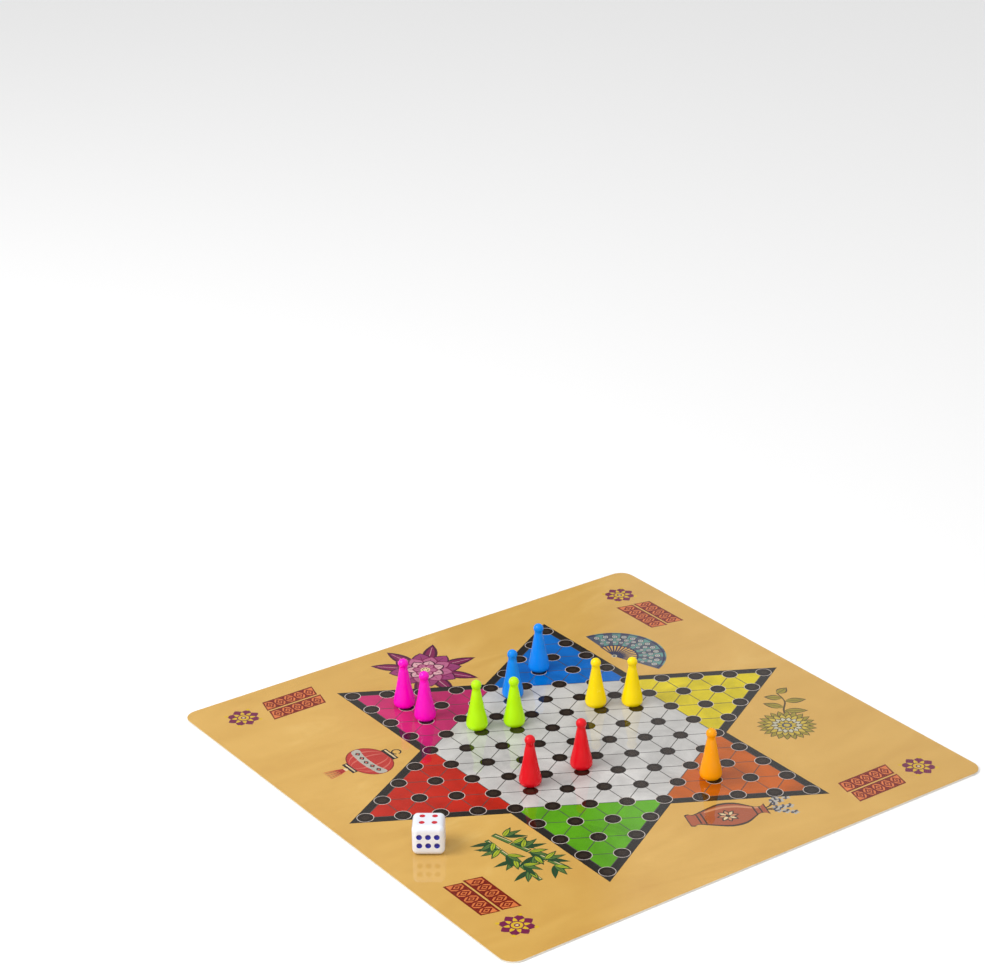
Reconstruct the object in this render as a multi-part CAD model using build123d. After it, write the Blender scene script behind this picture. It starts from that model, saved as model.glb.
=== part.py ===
from build123d import *
from math import sqrt
import os

# A Chinese checkers board with the pieces that stand on it: a flat laminated board, eleven pawns
# in six colours and one die. Millimetres. The origin is the centre of the board's underside,
# +Z is up, X and Y run along the board's edges, and the yellow point of the star is towards +Y.

# Board, a stack of four layers cut out together
BOARD_SIDE = 300.0
BOARD_CORNER = 8.0
BACK_PAPER = 0.15
CORE_THICK = 0.85
PRINT_PAPER = 0.15
GLOSS_FILM = 0.05
PLAY_Z = BACK_PAPER + CORE_THICK + PRINT_PAPER + GLOSS_FILM

# Playing grid: spots lie on a triangular grid, in rows that run along X
SPOT_PITCH = 18.8
ROW_PITCH = SPOT_PITCH * sqrt(3) / 2

# Pawn, one turned form: rounded foot, widest just above it, long taper, neck and ball head
PAWN_HEIGHT = 27.6
FOOT_R = 4.9
BELLY_R = 5.85
BELLY_Z = 2.2
SKIRT_R = 5.35
SKIRT_Z = 5.6
WAIST_R = 4.3
WAIST_Z = 10.4
NECK_R = 2.22
NECK_Z = 21.8
NECK_SLOPE = -0.22
BELLY_FULLNESS = 0.5
HEAD_R = 2.75
RECESS_R = 3.6
RECESS_DEPTH = 0.8

# Die
DIE_SIDE = 16.0
DIE_ROUND = 2.8
DIE_PLACE = (43.0, -121.0)
DIE_YAW = -37.0
PIP_R = 1.5
ONE_PIP_R = 2.2
PIP_CURVE = 2.5
PAINT_THICK = 0.1
PAINT_SUNK = 0.05
SQUARE_PITCH = 6.2
SIX_LONG_PITCH = 4.3
SIX_SHORT_PITCH = 4.7

# Where each pawn stands: the spot it belongs to, counted along a row and up the rows from the
# centre of the star, and how far its foot stands from that spot in X and Y
PAWNS = {
    "pawn_magenta_1": (-3, -3, -3.2, 0.8),
    "pawn_magenta_2": (-2, -3, -3.2, 1.5),
    "pawn_blue_1": (-5, 2, -2.8, 2.0),
    "pawn_blue_2": (-3, 0, -4.8, 4.7),
    "pawn_lime_1": (-1, -2, -6.3, 1.4),
    "pawn_lime_2": (-1, -1, -6.7, 3.0),
    "pawn_yellow_1": (-2, 2, -7.3, 1.8),
    "pawn_yellow_2": (-2, 3, -5.9, 1.8),
    "pawn_red_1": (3, -3, -6.6, 4.7),
    "pawn_red_2": (2, -1, -5.0, 3.5),
    "pawn_orange_1": (3, 2, -3.7, 0.8),
}


def board_layer(bottom, thickness):
    """One sheet of the board, with the shared square outline and rounded corners."""
    outline = RectangleRounded(BOARD_SIDE, BOARD_SIDE, BOARD_CORNER)
    return Pos(0, 0, bottom) * extrude(outline, amount=thickness)


def board_layers():
    """The four layers from the underside up, each resting on the one below."""
    stack = (
        ("back_paper_sheet", BACK_PAPER),
        ("core_board", CORE_THICK),
        ("face_print_sheet", PRINT_PAPER),
        ("face_gloss_film", GLOSS_FILM),
    )
    layers = {}
    bottom = 0.0
    for name, thickness in stack:
        layers[name] = board_layer(bottom, thickness)
        bottom += thickness
    return layers


def pawn_outline():
    """Half of a pawn's section, from the middle of its foot round to the top of its head."""
    head_z = PAWN_HEIGHT - HEAD_R
    join_z = head_z - sqrt(HEAD_R**2 - NECK_R**2)
    return (
        Line((0, 0), (FOOT_R, 0)),
        TangentArc((BELLY_R, BELLY_Z), (FOOT_R, 0), tangent=(0, -1)),
        Spline(
            (BELLY_R, BELLY_Z),
            (SKIRT_R, SKIRT_Z),
            (WAIST_R, WAIST_Z),
            (NECK_R, NECK_Z),
            tangents=((0, 1), (NECK_SLOPE, 1)),
            tangent_scalars=(BELLY_FULLNESS, 1),
        ),
        Line((NECK_R, NECK_Z), (NECK_R, join_z)),
        ThreePointArc((NECK_R, join_z), (HEAD_R, head_z), (0, PAWN_HEIGHT)),
        Line((0, PAWN_HEIGHT), (0, 0)),
    )


def pawn():
    """A pawn standing at the origin, with a shallow moulding recess under its foot."""
    section = Plane.XZ * make_face(Curve() + [*pawn_outline()])
    recess = Pos(0, 0, RECESS_DEPTH / 2) * Cylinder(RECESS_R, RECESS_DEPTH)
    return revolve(section, Axis.Z) - recess


def spot(column, row):
    """The place on the board of a grid spot."""
    return (column + row / 2) * SPOT_PITCH, row * ROW_PITCH


def pip_sets():
    """Each face of the die: its outward direction, its pips' places and radius, and their colour."""
    square = SQUARE_PITCH / 2
    four = [(u, v) for u in (-square, square) for v in (-square, square)]
    long_side = (-SIX_LONG_PITCH, 0, SIX_LONG_PITCH)
    six = [(u, v) for u in long_side for v in (-SIX_SHORT_PITCH / 2, SIX_SHORT_PITCH / 2)]
    two = [(-square, square), (square, -square)]
    return (
        ((0, 0, 1), four, PIP_R, "red"),
        ((-1, 0, 0), [(0, 0)], ONE_PIP_R, "red"),
        ((1, 0, 0), six, PIP_R, "blue"),
        ((0, 1, 0), two, PIP_R, "blue"),
        ((0, -1, 0), four + [(0, 0)], PIP_R, "blue"),
        ((0, 0, -1), two + [(0, 0)], PIP_R, "blue"),
    )


def dish(radius, rise):
    """The ball whose cap is a pip's hollow, with its top lifted out of the face by rise."""
    curve = PIP_CURVE * radius / PIP_R
    return Pos(0, 0, sqrt(curve**2 - radius**2) + rise) * Sphere(curve)


def die():
    """The die's three nodes: the white body with its hollows, and the red and the blue paint."""
    block = fillet(Box(DIE_SIDE, DIE_SIDE, DIE_SIDE).edges(), DIE_ROUND)
    paint_limit = Box(*(DIE_SIDE - 2 * PAINT_SUNK,) * 3)
    hollows = []
    paint = {"red": [], "blue": []}
    for direction, places, radius, colour in pip_sets():
        across = (0, 1, 0) if direction[1] == 0 else (1, 0, 0)
        face = Plane(Vector(direction) * DIE_SIDE / 2, x_dir=across, z_dir=direction)
        for u, v in places:
            centre = face * Pos(u, v, 0)
            hollow = centre * dish(radius, 0)
            coat = (hollow & paint_limit) - centre * dish(radius, PAINT_THICK)
            hollows.append(hollow)
            paint[colour] += coat.solids()
    place = Pos(*DIE_PLACE, PLAY_Z + DIE_SIDE / 2) * Rot(0, 0, DIE_YAW)
    return {
        "die_body": place * (block - hollows),
        "die_pips_red": place * Compound(children=paint["red"]),
        "die_pips_blue": place * Compound(children=paint["blue"]),
    }


nodes = board_layers()
form = pawn()
for name, (column, row, shift_x, shift_y) in PAWNS.items():
    spot_x, spot_y = spot(column, row)
    nodes[name] = Pos(spot_x + shift_x, spot_y + shift_y, PLAY_Z) * form
nodes.update(die())

os.makedirs("parts", exist_ok=True)
for name, shape in nodes.items():
    export_step(shape, f"parts/{name}.step")
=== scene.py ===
from math import cos, hypot, log, pi, radians, sin, sqrt

import bmesh
import bpy
from mathutils import Matrix, Vector
from mathutils.geometry import delaunay_2d_cdt


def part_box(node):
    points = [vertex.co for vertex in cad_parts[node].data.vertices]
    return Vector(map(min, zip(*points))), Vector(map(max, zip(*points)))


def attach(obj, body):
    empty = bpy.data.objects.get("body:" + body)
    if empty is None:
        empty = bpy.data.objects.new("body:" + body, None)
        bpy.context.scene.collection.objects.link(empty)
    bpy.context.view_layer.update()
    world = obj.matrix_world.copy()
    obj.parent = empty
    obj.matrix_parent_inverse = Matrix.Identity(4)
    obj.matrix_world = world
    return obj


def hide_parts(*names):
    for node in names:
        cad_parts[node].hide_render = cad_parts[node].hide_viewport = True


# A Chinese checkers board with its pawns and die. The artwork is laid out in millimetres on the
# board's own X and Y, and everything else is in metres.
MM = 0.001

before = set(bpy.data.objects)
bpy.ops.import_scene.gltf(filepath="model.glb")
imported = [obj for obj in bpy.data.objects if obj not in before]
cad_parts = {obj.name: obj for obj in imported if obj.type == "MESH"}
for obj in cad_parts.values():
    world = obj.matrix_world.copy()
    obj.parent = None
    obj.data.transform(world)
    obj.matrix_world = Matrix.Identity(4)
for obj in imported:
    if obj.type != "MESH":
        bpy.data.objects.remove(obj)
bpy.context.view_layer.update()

# ---------------------------------------------------------------- camera

CAMERA_AT = Vector((1.0076, -0.7567, 0.6923))
AIM_AT = Vector((-0.3073, 0.1665, 0.0))
CAMERA_ROLL = radians(-1.0)
# Focal length in picture widths, and the sensor's width in millimetres
FOCAL_WIDTHS = 2.7727
SENSOR = 36.0


def add_camera():
    """A long lens from the front corner of the board, tipped a degree as a hand-held shot is."""
    data = bpy.data.cameras.new("camera")
    data.sensor_fit = "HORIZONTAL"
    data.sensor_width = SENSOR
    data.lens = FOCAL_WIDTHS * SENSOR
    data.clip_start = 0.01
    camera = bpy.data.objects.new("camera", data)
    turn = (AIM_AT - CAMERA_AT).to_track_quat("-Z", "Y").to_matrix().to_4x4()
    camera.matrix_world = Matrix.Translation(CAMERA_AT) @ turn @ Matrix.Rotation(CAMERA_ROLL, 4, "Z")
    bpy.context.scene.collection.objects.link(camera)
    bpy.context.scene.camera = camera


add_camera()

# ---------------------------------------------------------------- node helpers


def linear(red, green, blue):
    """A colour given as 0 to 255 display values, as the linear colour a shader takes."""
    def one(value):
        share = value / 255
        return share / 12.92 if share <= 0.04045 else ((share + 0.055) / 1.055) ** 2.4
    return (one(red), one(green), one(blue), 1.0)


def scaled(colour, by):
    return tuple(min(1.0, c * by) for c in colour[:3]) + (1.0,)


class Nodes:
    """A material's node tree, with one short call for each node that is used here."""

    def __init__(self, name):
        self.owner = bpy.data.materials.new(name)
        self.start("ShaderNodeOutputMaterial", "Object")

    def start(self, output, coordinate):
        self.owner.use_nodes = True
        self.tree = self.owner.node_tree
        self.tree.nodes.clear()
        self.output = self.add(output)
        self.place = self.add("ShaderNodeTexCoord").outputs[coordinate]

    def add(self, kind, **inputs):
        node = self.tree.nodes.new(kind)
        for name, value in inputs.items():
            self.put(node.inputs[name.replace("_", " ")], value)
        return node

    def put(self, socket, value):
        if isinstance(value, bpy.types.NodeSocket):
            self.tree.links.new(value, socket)
        else:
            socket.default_value = value

    def noise(self, scale, detail=3.0, roughness=0.5, distortion=0.0, place=None):
        node = self.add("ShaderNodeTexNoise", Vector=place or self.place, Scale=scale, Detail=detail,
                        Roughness=roughness, Distortion=distortion)
        return node.outputs["Fac"]

    def stretched(self, factors, turn=0.0):
        node = self.add("ShaderNodeMapping", Vector=self.place, Scale=factors, Rotation=(0, 0, turn))
        return node.outputs["Vector"]

    def spread(self, value, low, high, to_low=0.0, to_high=1.0):
        node = self.add("ShaderNodeMapRange")
        for socket, number in zip(node.inputs, (value, low, high, to_low, to_high)):
            self.put(socket, number)
        return node.outputs[0]

    def mixed(self, share, first, second, blend="MIX"):
        node = self.tree.nodes.new("ShaderNodeMix")
        node.data_type = "RGBA"
        node.blend_type = blend
        self.put(node.inputs[0], share)
        self.put(node.inputs[6], first)
        self.put(node.inputs[7], second)
        return node.outputs[2]

    def math(self, operation, first, second=0.0):
        node = self.tree.nodes.new("ShaderNodeMath")
        node.operation = operation
        self.put(node.inputs[0], first)
        self.put(node.inputs[1], second)
        return node.outputs[0]

    def ramp(self, share, stops):
        node = self.add("ShaderNodeValToRGB", Fac=share)
        ramp = node.color_ramp
        while len(ramp.elements) < len(stops):
            ramp.elements.new(0.5)
        for element, (position, colour) in zip(ramp.elements, stops):
            element.position = position
            element.color = colour
        return node.outputs["Color"]

    def bump(self, height, strength, distance):
        node = self.add("ShaderNodeBump", Height=height, Strength=strength, Distance=distance)
        return node.outputs["Normal"]

    def surface(self, shader):
        self.tree.links.new(shader.outputs[0], self.output.inputs["Surface"])
        return self.owner

    def principled(self, **inputs):
        return self.surface(self.add("ShaderNodeBsdfPrincipled", **inputs))


class WorldNodes(Nodes):
    """The same for the surroundings, whose places are directions."""

    def __init__(self, name):
        self.owner = bpy.data.worlds.new(name)
        self.start("ShaderNodeOutputWorld", "Generated")

    def along(self, axis):
        """How far the direction points along an axis, from -1 to 1."""
        node = self.add("ShaderNodeVectorMath")
        node.operation = "DOT_PRODUCT"
        self.put(node.inputs[0], self.place)
        self.put(node.inputs[1], axis)
        return node.outputs["Value"]


# ---------------------------------------------------------------- shapes for the artwork

CIRCLE_STEPS = 40
BOARD_CORNER = 8.0


def turned(points, degrees, at=(0, 0)):
    c, s = cos(radians(degrees)), sin(radians(degrees))
    return [(at[0] + c * x - s * y, at[1] + s * x + c * y) for x, y in points]


def arc(radius, start, end, steps, centre=(0, 0)):
    """Points on a circle from start to end, in degrees."""
    angles = [radians(start + (end - start) * i / steps) for i in range(steps + 1)]
    return [(centre[0] + radius * cos(a), centre[1] + radius * sin(a)) for a in angles]


def disc(radius, centre=(0, 0), steps=CIRCLE_STEPS):
    return arc(radius, 0, 360, steps, centre)[:-1]


def oval(half_width, half_height, centre=(0, 0), steps=CIRCLE_STEPS):
    return [(centre[0] + half_width * x, centre[1] + half_height * y) for x, y in disc(1, steps=steps)]


def block(half_width, half_height, centre=(0, 0)):
    x, y = centre
    return [(x - half_width, y - half_height), (x + half_width, y - half_height),
            (x + half_width, y + half_height), (x - half_width, y + half_height)]


def lozenge(half_width, half_height, centre):
    x, y = centre
    return [(x - half_width, y), (x, y - half_height), (x + half_width, y), (x, y + half_height)]


def petal(length, width, angle=0, base=(0, 0), steps=9, belly=0.5):
    """A leaf or petal that points along angle, widest at belly of its length."""
    power = log(0.5) / log(belly)
    side = [(length * i / steps, width / 2 * sin(pi * (i / steps) ** power)) for i in range(steps + 1)]
    outline = side + [(x, -y) for x, y in reversed(side[1:-1])]
    return turned(outline, angle, base)


def sector(inner, outer, start, end, steps, centre=(0, 0)):
    return arc(outer, start, end, steps, centre) + arc(inner, end, start, steps, centre)


def smooth(points, steps=5, closed=True):
    """Points on a curve that passes through the given ones."""
    count = len(points)
    if not closed:
        points = [points[0]] + list(points) + [points[-1]]
    spans = count if closed else count - 1
    found = []
    for i in range(spans):
        if closed:
            p = [points[(i + k) % count] for k in (-1, 0, 1, 2)]
        else:
            p = points[i:i + 4]
        for j in range(steps):
            t = j / steps
            weights = (-t + 2 * t**2 - t**3, 2 - 5 * t**2 + 3 * t**3, t + 4 * t**2 - 3 * t**3, t**3 - t**2)
            found.append(tuple(sum(w * q[axis] for w, q in zip(weights, p)) / 2 for axis in (0, 1)))
    return found if closed else found + [points[-2]]


def stroke(points, width, end_width=None):
    """A line of some width along the points, which may taper to end_width."""
    end_width = width if end_width is None else end_width
    left, right = [], []
    last = len(points) - 1
    for i, (x, y) in enumerate(points):
        before, after = points[max(0, i - 1)], points[min(last, i + 1)]
        dx, dy = after[0] - before[0], after[1] - before[1]
        size = hypot(dx, dy)
        half = (width + (end_width - width) * i / last) / 2
        left.append((x - dy / size * half, y + dx / size * half))
        right.append((x + dy / size * half, y - dx / size * half))
    return left + right[::-1]


# ---------------------------------------------------------------- artwork: the star

SPOT_PITCH = 18.8
STAR_ROWS = 4
BAND = 4.8
SPOT_R = 4.05
RING_R = SPOT_R + 0.36
SPOT_CORE_R = 2.0
LINK_WIDTH = 0.5
# A point's own colour, by the direction in degrees that it points in
STAR_COLOURS = {30: "orange_field", 90: "yellow_field", 150: "blue_field",
                210: "magenta_field", 270: "red_field", 330: "green_field"}


def spots():
    """The star's spots, as places in millimetres: a hexagon and a triangle on each of its sides."""
    found = []
    for row in range(-2 * STAR_ROWS, 2 * STAR_ROWS + 1):
        for column in range(-2 * STAR_ROWS, 2 * STAR_ROWS + 1):
            third = -row - column
            pointing_up = min(row, column, third) >= -STAR_ROWS
            pointing_down = max(row, column, third) <= STAR_ROWS
            if pointing_up or pointing_down:
                found.append(((column + row / 2) * SPOT_PITCH, row * SPOT_PITCH * sqrt(3) / 2))
    return found


def polar(radius, degrees):
    return (radius * cos(radians(degrees)), radius * sin(radians(degrees)))


def beyond(start, distance, degrees):
    """The place at a distance and direction from another."""
    x, y = polar(distance, degrees)
    return (start[0] + x, start[1] + y)


def star(layers):
    """The dark band, the coloured points, the pale middle, the links and the spots."""
    notch = STAR_ROWS * SPOT_PITCH
    tip = notch * sqrt(3)
    outline = []
    for angle in range(0, 360, 60):
        outline.append(polar(notch + BAND * 2 / sqrt(3), angle))
        outline.append(polar(tip + 2 * BAND, angle + 30))
    layers.append((outline, "band"))
    for angle, ink in STAR_COLOURS.items():
        layers.append(([polar(tip, angle), polar(notch, angle + 30), polar(notch, angle - 30)], ink))
    layers.append(([polar(notch, angle) for angle in range(0, 360, 60)], "middle_field"))
    places = spots()
    for i, a in enumerate(places):
        for b in places[i + 1:]:
            if hypot(a[0] - b[0], a[1] - b[1]) < 1.01 * SPOT_PITCH:
                layers.append((stroke([a, b], LINK_WIDTH), "link"))
    inside = notch * sqrt(3) / 2 - 1
    for x, y in places:
        reach = max(abs(x * cos(radians(a)) + y * sin(radians(a))) for a in (30, 90, 150))
        if reach > inside:
            layers.append((disc(RING_R, (x, y)), "ring"))
        layers.append((disc(SPOT_R, (x, y)), "spot"))
        layers.append((disc(SPOT_CORE_R, (x, y), 20), "spot_core"))


# ---------------------------------------------------------------- artwork: the ornaments


def placed(layers, shapes, at, degrees):
    for outline, ink in shapes:
        layers.append((turned(outline, degrees, at), ink))


def lantern():
    """A round paper lantern with a tassel."""
    middle, rib_height = (0, 3), 10.9
    sash = smooth([(-13.9, 5), (-7, 3.7), (0, 3.3), (7, 3.7), (13.9, 5),
                   (13.6, 0.2), (7, -1.2), (0, -1.7), (-7, -1.2), (-13.6, 0.2)], 3)
    shapes = [(stroke(arc(2.4, 0, 330, 14, (0, 19.5)), 0.8), "black_ink"),
              (oval(15, 11.5, middle), "dark_red_ink")]
    for half_width, ink in ((14.3, "red_ink"), (10.8, "rose_ink"), (9.8, "red_ink"), (5.6, "rose_ink"),
                            (4.6, "red_ink")):
        shapes.append((oval(half_width, rib_height, middle), ink))
    shapes.append((sash, "grey_ink"))
    for x in (-10, -5, 0, 5, 10):
        y = 0.8 + abs(x) * 0.12
        shapes.append((lozenge(1.9, 1.5, (x, y)), "black_ink"))
        shapes.append((lozenge(0.9, 0.7, (x, y)), "rose_ink"))
    shapes += [(block(6, 1.7, (0, 15.3)), "black_ink"), (block(5.2, 0.5, (0, 15.7)), "cream_ink"),
               (block(5.4, 1.5, (0, -9.3)), "black_ink"), (block(4.6, 0.4, (0, -9)), "cream_ink"),
               (disc(1.5, (0, -12), 16), "cream_ink")]
    for i in range(-3, 4):
        strand = stroke(smooth([(i * 0.35, -12.6), (i * 0.9, -17), (i * 1.25, -23)], 4, False), 0.9, 0.4)
        shapes.append((strand, "red_ink" if i % 2 else "dark_red_ink"))
    return shapes


def vase():
    """A tall vase with a dark branch of blossom in its mouth."""
    side = smooth([(5.5, -26), (6.2, -24), (5, -21.5), (8, -15), (11.5, -6), (10.5, 2), (6, 8), (3.6, 11),
                   (3.6, 14), (5.6, 16)], 3, False)
    body = side + [(-x, y) for x, y in reversed(side)]
    inner = [(x * 0.86, y * 0.97 - 0.2) for x, y in body]
    shapes = []
    twigs = ((62, 15, (0, 15)), (90, 13, (0.5, 15)), (118, 16, (-0.5, 15)), (142, 12, (-2, 18)))
    for angle, length, at in twigs:
        shapes.append((stroke([at, beyond(at, length, angle)], 1, 0.4), "bark_ink"))
        for share in (0.45, 0.72, 1.0):
            bud = beyond(at, length * share, angle)
            for k in range(5):
                ink = "slate_ink" if k % 2 else "grey_ink"
                shapes.append((petal(2.5, 1.8, 72 * k + angle, bud, 5), ink))
            shapes.append((disc(0.6, bud, 10), "bark_ink"))
    sheen = smooth([(-2.6, 13), (-1.4, 13), (-2.2, 9), (-5.5, 2), (-6.6, -6), (-5, -15), (-6.6, -14),
                    (-8.4, -6), (-7.4, 2), (-4.4, 8)], 3)
    shapes += [(body, "bark_ink"), (inner, "rust_ink"), (sheen, "tan_ink")]
    for y, half_width in ((12.6, 3.1), (9.6, 3.8), (-17.5, 5.4), (-20, 4.3)):
        shapes.append((block(half_width, 0.45, (0, y)), "bark_ink"))
    flower = (1, -5)
    for k in range(8):
        shapes.append((petal(6, 3, 45 * k, flower, 7), "bark_ink"))
        shapes.append((petal(4.9, 1.8, 45 * k, flower, 7), "cream_ink" if k % 2 else "tan_ink"))
    shapes.append((disc(1.3, flower, 16), "bark_ink"))
    return shapes


def fan():
    """A folding fan, open, with a scalloped wave border."""
    leaves, first, last, pivot = 15, 12, 168, (0, -14)
    step = (last - first) / leaves
    shapes = []
    for i in range(leaves + 1):
        shapes.append((stroke([pivot, beyond(pivot, 14, first + i * step)], 0.9), "navy_ink"))
    for i in range(leaves):
        start = first + i * step
        shapes.append((sector(12.5, 29, start, start + step, 2, pivot), "teal_ink" if i % 2 else "slate_ink"))
    shapes.append((sector(27.2, 28.2, first, last, 30, pivot), "navy_ink"))
    shapes.append((sector(12.5, 13.6, first, last, 24, pivot), "navy_ink"))
    for row, radius in enumerate((24, 20.5, 17)):
        for i in range(12):
            angle = first + 9 + i * 12.5 + row % 2 * 6.2
            if angle > last - 8:
                continue
            scale_at = beyond(pivot, radius, angle)
            size = radius * 0.082
            for share, steps, ink in ((1.0, 16, "navy_ink"), (0.78, 16, "pale_ink"), (0.5, 14, "blue_ink"),
                                      (0.24, 10, "pale_ink")):
                shapes.append((disc(size * share, scale_at, steps), ink))
    shapes.append((disc(1.6, pivot, 18), "pale_ink"))
    shapes.append((disc(0.9, pivot, 14), "navy_ink"))
    return shapes


def bamboo():
    """Two stems of bamboo with their leaves."""
    shapes = []
    for x0, y0, slope, width in ((-24, -3.5, 7, 3.4), (-21, -9, 2, 2.6)):
        for k in range(4):
            x, y = x0 + 11.5 * k, y0 + slope * k * 0.55
            end_x, end_y = x + 11, y + slope * 0.53
            shapes.append((stroke([(x, y), (end_x, end_y)], width), "forest_ink"))
            shapes.append((stroke([(x + 0.6, y), (end_x - 0.6, end_y)], width * 0.66), "moss_ink"))
            shapes.append((stroke([(x + 1, y + 0.6), (end_x - 1, end_y + 0.6)], 0.5), "cream_ink"))
    sprays = ((-20, 0, 95), (-12, 1, 60), (-1, 4, 25), (-6, 3, 110), (9, 7, 75), (16, 8, -10), (4, 4, -35),
              (2, -6, -60), (-10, -8, -100), (-17, -7, -70), (14, -5, -40), (8, -5, 20), (-4, -7, 15))
    for i, (x, y, angle) in enumerate(sprays):
        for k, ink in enumerate(("forest_ink", "moss_ink", "lime_ink")):
            lean = angle + (k - 1) * 33 + (i % 3) * 7
            shapes.append((petal(12.5 - 1.5 * k, 3.4, lean, (x, y), 8, 0.4), "forest_ink"))
            shapes.append((petal(11.3 - 1.5 * k, 2.3, lean, (x, y), 8, 0.4), ink))
            shapes.append((stroke([(x, y), beyond((x, y), 9, lean)], 0.25), "bark_ink"))
    return shapes


def peony():
    """A full flower with pointed leaves round it."""
    shapes = []
    for angle in (15, 62, 118, 170, 205, 300, 335):
        shapes.append((petal(31, 8.5, angle, (0, 0), 10, 0.6), "plum_ink"))
        shapes.append((petal(29, 5.5, angle, (0, 0), 10, 0.6), "wine_ink"))
        tip = polar(27, angle)
        shapes.append((stroke([(0, 0), tip], 0.5, 0.25), "blush_ink"))
    rings = ((8, 20.5, 11, 0, "plum_ink", "mauve_ink"), (8, 16, 9.5, 22, "wine_ink", "orchid_ink"),
             (7, 11.5, 7.6, 8, "plum_ink", "blush_ink"), (6, 7.4, 5.6, 30, "wine_ink", "orchid_ink"))
    for count, length, width, shift, edge, fill in rings:
        for k in range(count):
            angle = shift + 360 * k / count
            shapes.append((petal(length, width, angle, (0, 0), 9, 0.66), edge))
            shapes.append((petal(length - 0.8, width - 1.7, angle, (0, 0), 9, 0.66), fill))
            shapes.append((stroke([polar(3, angle), polar(length * 0.8, angle)], 0.3), edge))
    shapes.append((disc(2.7, steps=20), "cream_ink"))
    for k in range(7):
        shapes.append((disc(0.45, polar(1.6, k * 360 / 7), 8), "plum_ink"))
    return shapes


def chrysanthemum():
    """A flower of many narrow petals on a leafy stem."""
    stem = smooth([(0, 0), (-8, 10), (-12, 20), (-20, 27)], 6, False)
    shapes = [(stroke(stem, 1.3, 0.7), "umber_ink")]
    # Each leaf's point of the stem, counted from the flower, its direction and its length
    leaves = ((6, 30, 13), (8, 185, 12), (12, 40, 12), (14, 200, 10), (17, 80, 9))
    for stem_point, angle, length in leaves:
        at = stem[stem_point]
        shapes.append((petal(length, 6, angle, at, 8, 0.45), "umber_ink"))
        shapes.append((petal(length - 1, 4.6, angle, at, 8, 0.45), "olive_ink"))
        shapes.append((stroke([at, beyond(at, length * 0.8, angle)], 0.35), "umber_ink"))
    heart = (0, -4)
    rings = ((22, 16, 3.9, 0, "olive_ink"), (18, 12.5, 3.7, 9, "straw_ink"),
             (14, 9, 3.4, 4, "pale_ink"), (10, 6, 2.9, 12, "straw_ink"))
    for count, length, width, shift, fill in rings:
        for k in range(count):
            angle = shift + 360 * k / count
            shapes.append((petal(length, width, angle, heart, 7, 0.7), "umber_ink"))
            shapes.append((petal(length - 0.6, width - 0.9, angle, heart, 7, 0.7), fill))
    shapes.append((disc(2.8, heart, 20), "slate_ink"))
    shapes.append((disc(1.7, heart, 16), "straw_ink"))
    return shapes


def corner_panel():
    """Two slanted banners of nested lozenges between bars."""
    shapes = []
    lozenges, lozenge_pitch, banner_half_height = 5, 6.2, 4.9
    for y, length, shift in ((5.4, 35, 0.8), (-5.4, 34, -0.8)):
        half = length / 2
        banner = [(shift - half, y - banner_half_height), (shift + half - 2.5, y - banner_half_height),
                  (shift + half, y + banner_half_height), (shift - half + 2.5, y + banner_half_height)]
        inner = [(shift + (x - shift) * 0.95, y + (v - y) * 0.76) for x, v in banner]
        shapes.append((banner, "brick_ink"))
        shapes.append((inner, "apricot_ink"))
        for k in range(lozenges):
            x = shift + (k - (lozenges - 1) / 2) * lozenge_pitch
            for size, ink in ((1.0, "brick_ink"), (0.58, "apricot_ink"), (0.32, "brick_ink")):
                shapes.append((lozenge(2.5 * size, 3.6 * size, (x, y)), ink))
            if k < lozenges - 1:
                shapes.append((block(0.6, 3.7, (x + lozenge_pitch / 2, y)), "brick_ink"))
                for side in (-1, 1):
                    for edge in (-1, 1):
                        foot_x, foot_y = x + lozenge_pitch / 2 + side * 0.6, y + edge * 3.7
                        wedge = [(foot_x, foot_y), (foot_x + side * 1.5, foot_y),
                                 (foot_x, foot_y - edge * 1.9)]
                        shapes.append((wedge, "brick_ink"))
    return shapes


def rosette():
    """A small flower badge."""
    shapes = []
    for k in range(8):
        shapes.append((petal(9.2, 5.4, 45 * k, (0, 0), 8, 0.62), "badge_ink"))
    for k in range(8):
        shapes.append((petal(6.6, 2.2, 45 * k + 22.5, (0, 0), 7, 0.6), "badge_gold_ink"))
    shapes += [(disc(3.6, steps=24), "badge_ink"), (disc(2.9, steps=24), "badge_gold_ink"),
               (disc(1.5, steps=18), "badge_ink"), (disc(0.8, steps=12), "cream_ink")]
    for k in range(4):
        shapes.append((disc(1.1, polar(9.3, 90 * k + 45), 12), "badge_gold_ink"))
    return shapes


NOTCH_ORNAMENTS = (
    (peony, (-115, -16), 20),
    (fan, (-67, 91), 8),
    (chrysanthemum, (52, 104), 25),
    (vase, (108, 20), -20),
    (bamboo, (76, -88), -6),
    (lantern, (-47, -100), 0),
)
PANEL_AT = (94.5, -126)
ROSETTE_AT = (125, -127.5)


def artwork():
    """Every printed shape, from the bottom layer to the top one."""
    layers = []
    for draw, at, degrees in NOTCH_ORNAMENTS:
        placed(layers, draw(), at, degrees)
    for quarter in range(4):
        for draw, at in ((corner_panel, PANEL_AT), (rosette, ROSETTE_AT)):
            centre = turned([at], 90 * quarter)[0]
            placed(layers, draw(), centre, 90 * quarter)
    star(layers)
    return layers


# ---------------------------------------------------------------- inks

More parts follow.
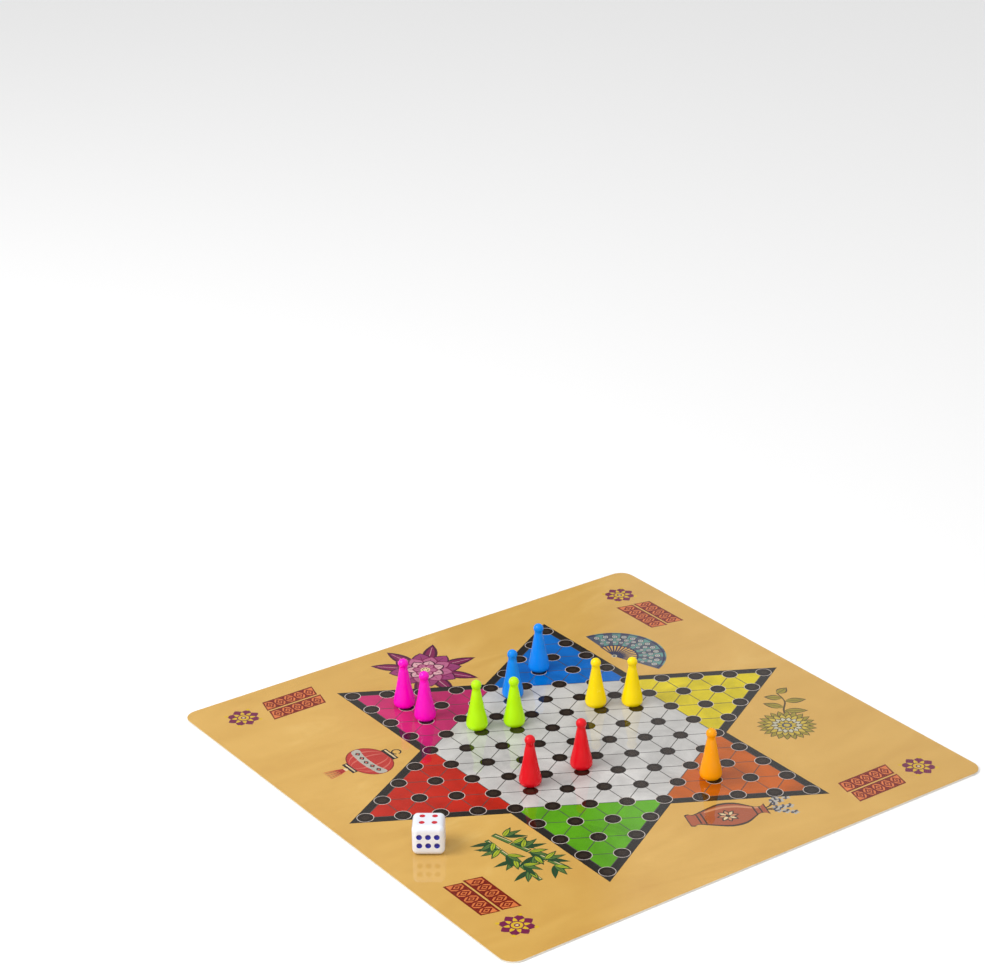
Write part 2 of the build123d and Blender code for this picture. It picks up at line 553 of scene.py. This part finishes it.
# Each ink's colour, as 0 to 255 display values
INKS = {
    # the star
    "band": (40, 36, 32), "middle_field": (200, 198, 195), "link": (78, 74, 70),
    "ring": (208, 196, 188), "spot": (36, 24, 17), "spot_core": (50, 38, 28),
    "magenta_field": (194, 40, 105), "blue_field": (0, 108, 196), "yellow_field": (216, 196, 0),
    "orange_field": (194, 94, 14), "green_field": (92, 164, 18), "red_field": (192, 36, 14),
    # the ornaments
    "black_ink": (42, 36, 34), "dark_red_ink": (140, 36, 32), "red_ink": (192, 56, 48),
    "rose_ink": (214, 110, 96), "grey_ink": (186, 180, 168), "cream_ink": (228, 204, 158),
    "bark_ink": (72, 56, 48), "slate_ink": (84, 88, 104), "rust_ink": (172, 92, 62),
    "tan_ink": (206, 142, 104), "navy_ink": (48, 50, 84), "teal_ink": (104, 150, 142),
    "blue_ink": (84, 100, 150), "pale_ink": (206, 200, 172), "forest_ink": (40, 78, 46),
    "moss_ink": (92, 126, 62), "lime_ink": (170, 186, 46), "plum_ink": (84, 26, 58),
    "wine_ink": (134, 34, 84), "mauve_ink": (158, 62, 116), "orchid_ink": (190, 104, 142),
    "blush_ink": (222, 172, 178), "umber_ink": (92, 74, 46), "olive_ink": (160, 144, 52),
    "straw_ink": (208, 182, 72),
    # the corner panels and rosettes
    "brick_ink": (126, 30, 16), "apricot_ink": (222, 124, 66),
    "badge_ink": (122, 36, 76), "badge_gold_ink": (222, 184, 48),
}
GROUND_RAMP = (
    (0.28, (210, 163, 82)),
    (0.45, (217, 172, 89)),
    (0.58, (223, 179, 96)),
    (0.76, (235, 198, 119)),
)

# How far an ink strays from its colour, as a share of it: broad fields more than small shapes
FIELD_BLOTCH = 0.22
INK_BLOTCH = 0.1


def paper_finish(nodes, colour):
    """What all the inks share: the paper's grain and no gloss of their own, as the film is bonded to them."""
    grain = nodes.noise(2600, 2.0)
    worn = nodes.mixed(1.0, colour, (0.9, 0.9, 0.9, 1.0), "MULTIPLY")
    tinted = nodes.mixed(nodes.spread(grain, 0.3, 0.7), worn, colour)
    rough = nodes.spread(nodes.noise(180), 0.3, 0.7, 0.42, 0.55)
    return nodes.principled(Base_Color=tinted, Roughness=rough, Specular_IOR_Level=0.0,
                            Normal=nodes.bump(grain, 0.12, 0.00004))


def ink_material(name, shade):
    """One printed colour, a little uneven as offset ink on paper is."""
    nodes = Nodes(name)
    blotch = FIELD_BLOTCH if name.endswith("field") else INK_BLOTCH
    base = linear(*shade)
    wash = nodes.noise(38, 5.0, 0.6, 0.8)
    colour = nodes.mixed(nodes.spread(wash, 0.3, 0.7), scaled(base, 1 - blotch), scaled(base, 1 + blotch))
    return paper_finish(nodes, colour)


def ground_material():
    """The golden background: soft marbled streaks from tan to pale gold."""
    nodes = Nodes("gold_ground")
    broad = nodes.noise(9, 4.0, 0.55, 1.2)
    streak = nodes.noise(16, 5.0, 0.6, 2.0, nodes.stretched((2.2, 0.7, 1.0), radians(35)))
    share = nodes.math("ADD", nodes.math("MULTIPLY", broad, 0.55), nodes.math("MULTIPLY", streak, 0.45))
    colour = nodes.ramp(share, [(position, linear(*shade)) for position, shade in GROUND_RAMP])
    return paper_finish(nodes, colour)


# ---------------------------------------------------------------- printed face

# The print's top lies this far under the film, because faces on one plane hide each other in patches
GLUE_LINE = 0.01 * MM
CORNER_STEPS = 12
# How the sheet is cut: points nearer than this are one, and only what lies inside the outline is kept
CUT_TOLERANCE = 1e-5
KEEP_INSIDE = 1


def rounded_square(side, corner, steps):
    """The board's outline: a square with rounded corners, centred."""
    half = side / 2 - corner
    outline = []
    for start, (x, y) in zip((0, 90, 180, 270), ((half, half), (-half, half), (-half, -half), (half, -half))):
        outline += arc(corner, start, start + 90, steps, (x, y))
    return outline


def anticlockwise(shape):
    twice_area = sum(a[0] * b[1] - b[0] * a[1] for a, b in zip(shape, shape[1:] + shape[:1]))
    return shape if twice_area > 0 else shape[::-1]


def layered_faces(outline, layers):
    """Cuts the sheet along every printed edge, so that each face has the ink of the layer on top of it."""
    points, faces, inks = [], [], []
    for shape, ink in [(outline, "ground")] + layers:
        shape = anticlockwise(shape)
        faces.append(list(range(len(points), len(points) + len(shape))))
        points += [Vector(p) for p in shape]
        inks.append(ink)
    cut = delaunay_2d_cdt(points, [], faces, KEEP_INSIDE, CUT_TOLERANCE, True)
    corners, pieces, origins = cut[0], cut[2], cut[5]
    return corners, pieces, [inks[max(origin)] for origin in origins]


def printed_face():
    """The printed paper: a closed sheet whose top is divided into its printed shapes."""
    low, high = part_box("face_print_sheet")
    side = (high.x - low.x) / MM
    outline = rounded_square(side, BOARD_CORNER, CORNER_STEPS)
    points, faces, inks = layered_faces(outline, artwork())
    names = ["ground"] + [name for name in INKS if name in set(inks)]
    mesh = bpy.data.meshes.new("printed_face")
    bm = bmesh.new()
    corners = [bm.verts.new((p.x * MM, p.y * MM, high.z - GLUE_LINE)) for p in points]
    for loop, ink in zip(faces, inks):
        face = bm.faces.new([corners[i] for i in loop])
        face.material_index = names.index(ink)
    # The walls are made one by one, because the extrude operator makes them in a different order each run
    rim = [edge for edge in bm.edges if edge.is_boundary]
    below = {}
    for corner in [corner for corner in bm.verts if corner.is_boundary]:
        below[corner] = bm.verts.new((corner.co.x, corner.co.y, low.z))
    for edge in rim:
        bm.edges.new([below[corner] for corner in edge.verts])
    for edge in rim:
        start = edge.link_loops[0].vert
        end = edge.other_vert(start)
        bm.faces.new((end, start, below[start], below[end])).material_index = 0
    for face in bmesh.ops.holes_fill(bm, edges=[e for e in bm.edges if e.is_boundary])["faces"]:
        face.material_index = 0
    bmesh.ops.recalc_face_normals(bm, faces=bm.faces)
    bm.to_mesh(mesh)
    bm.free()
    mesh.materials.append(ground_material())
    for name in names[1:]:
        mesh.materials.append(ink_material(name, INKS[name]))
    piece = bpy.data.objects.new("printed_face", mesh)
    bpy.context.scene.collection.objects.link(piece)
    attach(piece, "board")
    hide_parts("face_print_sheet")


printed_face()

# ---------------------------------------------------------------- board layers


FILM_IOR = 1.58
FILM_ROUGHNESS = (0.03, 0.07)


def dress(node, material):
    """Gives a CAD node one material all over."""
    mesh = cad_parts[node].data
    mesh.materials.clear()
    mesh.materials.append(material)


def film_material():
    """The clear laminate: see-through, with a mirror-like skin that strengthens at a low angle."""
    nodes = Nodes("gloss_film")
    ripple = nodes.noise(45, 2.0)
    fine = nodes.noise(900, 2.0)
    height = nodes.math("ADD", ripple, nodes.math("MULTIPLY", fine, 0.02))
    normal = nodes.bump(height, 0.05, 0.0004)
    fresnel = nodes.add("ShaderNodeFresnel", IOR=FILM_IOR, Normal=normal).outputs[0]
    facing_out = nodes.math("SUBTRACT", 1.0, nodes.add("ShaderNodeNewGeometry").outputs["Backfacing"])
    share = nodes.math("MULTIPLY", fresnel, facing_out)
    clear = nodes.add("ShaderNodeBsdfTransparent")
    rough = nodes.spread(nodes.noise(300, 3.0), 0.35, 0.75, *FILM_ROUGHNESS)
    gloss = nodes.add("ShaderNodeBsdfGlossy", Roughness=rough, Normal=normal)
    both = nodes.add("ShaderNodeMixShader")
    nodes.put(both.inputs[0], share)
    nodes.put(both.inputs[1], clear.outputs[0])
    nodes.put(both.inputs[2], gloss.outputs[0])
    return nodes.surface(both)


def board_fibre(name, pale, dark):
    """Pressed fibre, in fine streaks along the sheet."""
    nodes = Nodes(name)
    fibres = nodes.noise(1500, 4.0, 0.65, 0.6, nodes.stretched((1.0, 1.0, 6.0)))
    specks = nodes.noise(500, 2.0)
    colour = nodes.mixed(nodes.spread(fibres, 0.3, 0.7), linear(*dark), linear(*pale))
    colour = nodes.mixed(nodes.spread(specks, 0.62, 0.7, 0.0, 0.35), colour, linear(120, 112, 100))
    return nodes.principled(Base_Color=colour, Roughness=0.85, Normal=nodes.bump(fibres, 0.4, 0.0001))


dress("core_board", board_fibre("pale_board", (226, 221, 211), (198, 192, 180)))
dress("back_paper_sheet", board_fibre("backing_paper", (226, 220, 206), (206, 199, 184)))
dress("face_gloss_film", film_material())

# ---------------------------------------------------------------- pawns

PAWN_SHADES = {
    "magenta": (255, 0, 196),
    "blue": (0, 140, 246),
    "lime": (186, 246, 0),
    "yellow": (255, 222, 0),
    "red": (226, 14, 30),
    "orange": (255, 164, 0),
}
PAWN_SPECULAR = 0.3
PAWN_ROUGHNESS = (0.2, 0.28)
STYRENE_DEPTHS = (0.002, 0.0015, 0.001)


def pawn_material(colour, shade):
    """Moulded styrene: even colour, faint flow marks, and a skin polished by handling in patches."""
    nodes = Nodes("pawn_" + colour)
    base = linear(*shade)
    flow = nodes.noise(60, 2.0, 0.4, 0.3)
    tint = nodes.mixed(nodes.spread(flow, 0.3, 0.7), scaled(base, 0.95), base)
    rough = nodes.spread(nodes.noise(220, 3.0, 0.6), 0.35, 0.7, *PAWN_ROUGHNESS)
    return nodes.principled(Base_Color=tint, Roughness=rough, IOR=1.5, Specular_IOR_Level=PAWN_SPECULAR,
                            Subsurface_Weight=0.1, Subsurface_Radius=STYRENE_DEPTHS,
                            Normal=nodes.bump(flow, 0.03, 0.0001))


for colour, shade in PAWN_SHADES.items():
    finish = pawn_material(colour, shade)
    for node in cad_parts:
        if node.startswith(f"pawn_{colour}_"):
            dress(node, finish)

# ---------------------------------------------------------------- die


def gloss(name, shade, roughness):
    """Polished plastic or paint, faintly clouded."""
    nodes = Nodes(name)
    base = linear(*shade)
    cloud = nodes.noise(240, 3.0)
    tint = nodes.mixed(nodes.spread(cloud, 0.3, 0.7), scaled(base, 0.94), base)
    rough = nodes.spread(nodes.noise(900, 3.0), 0.35, 0.7, roughness, roughness + 0.1)
    return nodes.principled(Base_Color=tint, Roughness=rough, IOR=1.52)


dress("die_body", gloss("die_white", (232, 235, 243), 0.16))
dress("die_pips_red", gloss("pip_red", (196, 16, 40), 0.12))
dress("die_pips_blue", gloss("pip_blue", (16, 24, 150), 0.12))

# ---------------------------------------------------------------- floor and light


FLOOR_HALF = 6.0
FLOOR_WHITE = (0.98, 0.98, 0.98, 1.0)


def add_floor():
    """A plain pale floor, far larger than the view."""
    mesh = bpy.data.meshes.new("floor")
    bm = bmesh.new()
    bmesh.ops.create_grid(bm, x_segments=2, y_segments=2, size=FLOOR_HALF)
    bm.to_mesh(mesh)
    bm.free()
    nodes = Nodes("floor")
    mesh.materials.append(nodes.principled(Base_Color=FLOOR_WHITE, Roughness=0.9))
    floor = bpy.data.objects.new("floor", mesh)
    bpy.context.scene.collection.objects.link(floor)


def add_light(name, at, size, power, mirrored=True):
    """A soft panel light that faces the board's centre, in watts. The film shows it only if mirrored."""
    data = bpy.data.lights.new(name, "AREA")
    data.shape = "RECTANGLE"
    data.size, data.size_y = size
    data.energy = power
    light = bpy.data.objects.new(name, data)
    facing = (-Vector(at)).to_track_quat("-Z", "Y").to_matrix().to_4x4()
    light.matrix_world = Matrix.Translation(at) @ facing
    light.visible_glossy = mirrored
    bpy.context.scene.collection.objects.link(light)


# The surroundings' strength from low to high, and the heights between which it changes
SKY_STRENGTH = (0.6, 0.8)
SKY_SPAN = (0.35, 0.85)
# The flag's share of darkness, and the directions between which each of its sides sets in
FLAG_DEPTH = 0.82
FLAG_RIGHT_EDGE = (0.05, 0.032)
FLAG_BEHIND = (0.35, 0.55)
FLAG_TOP = (0.72, 0.55)
# Left of the middle the flag thins out to a share of itself
FLAG_FADE = (0.0, -0.05)
FLAG_FADED_SHARE = 0.35


def add_world():
    """Soft surroundings, brighter overhead, with a dark flag low down behind the board's left half."""
    nodes = WorldNodes("studio")
    view = (AIM_AT - CAMERA_AT) * Vector((1, 1, 0))
    view.normalize()
    right = view.cross(Vector((0, 0, 1)))
    height = nodes.along((0, 0, 1))
    sky = nodes.spread(height, *SKY_SPAN, *SKY_STRENGTH)
    across = nodes.along(right)
    edge = nodes.spread(across, *FLAG_RIGHT_EDGE)
    fading = nodes.spread(across, *FLAG_FADE, 1.0, FLAG_FADED_SHARE)
    behind = nodes.spread(nodes.along(view), *FLAG_BEHIND)
    low = nodes.spread(height, *FLAG_TOP)
    flag = nodes.math("MULTIPLY", nodes.math("MULTIPLY", edge, fading), nodes.math("MULTIPLY", behind, low))
    open_share = nodes.math("SUBTRACT", 1.0, nodes.math("MULTIPLY", flag, FLAG_DEPTH))
    strength = nodes.math("MULTIPLY", sky, open_share)
    bpy.context.scene.world = nodes.surface(
        nodes.add("ShaderNodeBackground", Color=(1.0, 1.0, 1.0, 1.0), Strength=strength))


add_floor()
add_world()
add_light("key", (-0.35, -1.1, 1.25), (0.9, 0.9), 16)
add_light("front_fill", (1.5, -1.15, 0.75), (1.4, 1.0), 9, mirrored=False)
bpy.context.scene.view_settings.view_transform = "Standard"
